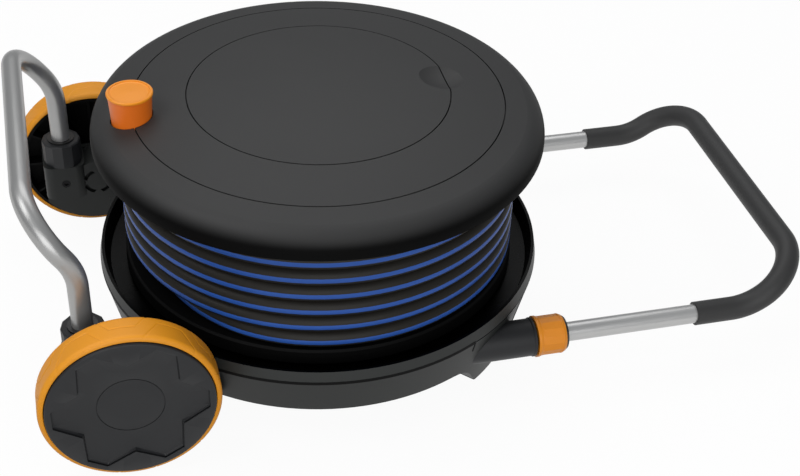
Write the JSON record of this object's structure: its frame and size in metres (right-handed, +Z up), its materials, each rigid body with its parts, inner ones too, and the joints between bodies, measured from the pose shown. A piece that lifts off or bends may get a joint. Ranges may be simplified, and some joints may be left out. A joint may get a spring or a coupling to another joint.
{
  "type": "garden hose reel cart",
  "caption": "Garden hose reel cart: a hose drum that turns flat on a wheeled base, with a lidded store, crank knob, telescopic pull handle and stand hoop.",
  "frame": {"origin": "on the reel's turning axis at floor level", "axes": "+Z up along the reel's axis; +X forward, towards the pull handle; +Y along the wheel axle, towards the water inlet"},
  "size_m": [0.7632, 0.4642, 0.2715],
  "materials": {
    "flange_plastic": "fine moulded grain",
    "base_plastic": "fine moulded grain",
    "tray_plastic": "smooth moulded",
    "hub_plastic": "smooth matt",
    "orange_plastic": "smooth satin",
    "tube_aluminium": "satin anodised",
    "grip_foam": "closed-cell foam skin",
    "hose_pvc": "satin, with one blue stripe",
    "acetal": "smooth",
    "steel": "zinc plated",
    "seal_rubber": "moulded"
  },
  "bodies": {
    "root": {"base_shell": "base_plastic", "drip_tray": "tray_plastic", "bearing_washer": "acetal", "foot_pads": "seal_rubber", "tray_screws": "steel", "feed_pipe": "acetal", "water_inlet": "acetal", "swivel_stem": "acetal", "swivel_seals": "seal_rubber", "handle_socket_left": "hub_plastic", "handle_socket_right": "hub_plastic", "arm_bush_left": "acetal", "arm_bush_right": "acetal", "clamp_collet_left": "acetal", "clamp_collet_right": "acetal", "wheel_bracket_left": "base_plastic", "wheel_bracket_right": "base_plastic", "bracket_screws": "steel", "leg_screws": "steel", "stand_hoop": "tube_aluminium", "hoop_nut_left": "hub_plastic", "hoop_nut_right": "hub_plastic", "hoop_ferrules": "hub_plastic", "axle_pin_left": "steel", "axle_pin_right": "steel", "axle_clips": "steel"},
    "reel": {"flange_rim": "flange_plastic", "flange_plate": "flange_plastic", "flange_panel": "flange_plastic", "storage_cup": "flange_plastic", "drum_core": "tray_plastic", "flange_bottom": "tray_plastic", "hub_retainer": "acetal", "swivel_rotor": "acetal", "drum_elbow": "acetal", "knob_post": "flange_plastic", "knob_pin": "steel", "hose_winding": "hose_pvc", "hose_end": "acetal"},
    "lid": {"lid": "flange_plastic", "lid_seal": "seal_rubber"},
    "knob": {"knob_grip": "orange_plastic", "knob_cap": "orange_plastic"},
    "handle": {"handle_tube": "tube_aluminium", "handle_grip": "grip_foam", "handle_plugs": "acetal"},
    "collar_left": {"lock_collar_left": "orange_plastic"},
    "wheel_left": {"tyre_left": "orange_plastic", "wheel_rim_left": "hub_plastic", "wheel_bush_left": "acetal", "hub_cap_left": "hub_plastic"},
    "collar_right": {"lock_collar_right": "orange_plastic"},
    "wheel_right": {"tyre_right": "orange_plastic", "wheel_rim_right": "hub_plastic", "wheel_bush_right": "acetal", "hub_cap_right": "hub_plastic"}
  },
  "joints": [
    {"name": "reel_spin", "type": "hinge", "parent": "root", "child": "reel", "pos_m": [0, 0, 0.0856], "axis": [0, 0, 1], "continuous": true},
    {"name": "lid_lift", "type": "slide", "parent": "reel", "child": "lid", "axis": [0, 0, 1], "range_m": [0, 0.07]},
    {"name": "knob_spin", "type": "hinge", "parent": "reel", "child": "knob", "pos_m": [-0.1765, 0, 0.25], "axis": [0, 0, 1], "continuous": true},
    {"name": "handle_slide", "type": "slide", "parent": "root", "child": "handle", "axis": [1, 0, 0], "range_m": [-0.112, 0.12]},
    {"name": "collar_left_twist", "type": "hinge", "parent": "root", "child": "collar_left", "pos_m": [0.1933, 0.1608, 0.0489], "axis": [1, 0, 0], "range_deg": [0, 60]},
    {"name": "wheel_left_spin", "type": "hinge", "parent": "root", "child": "wheel_left", "pos_m": [-0.2108, 0.1987, 0.0806], "axis": [0, 1, 0], "continuous": true},
    {"name": "collar_right_twist", "type": "hinge", "parent": "root", "child": "collar_right", "pos_m": [0.1933, -0.1608, 0.0489], "axis": [1, 0, 0], "range_deg": [0, 60]},
    {"name": "wheel_right_spin", "type": "hinge", "parent": "root", "child": "wheel_right", "pos_m": [-0.2108, -0.1987, 0.0806], "axis": [0, 1, 0], "continuous": true}
  ]
}
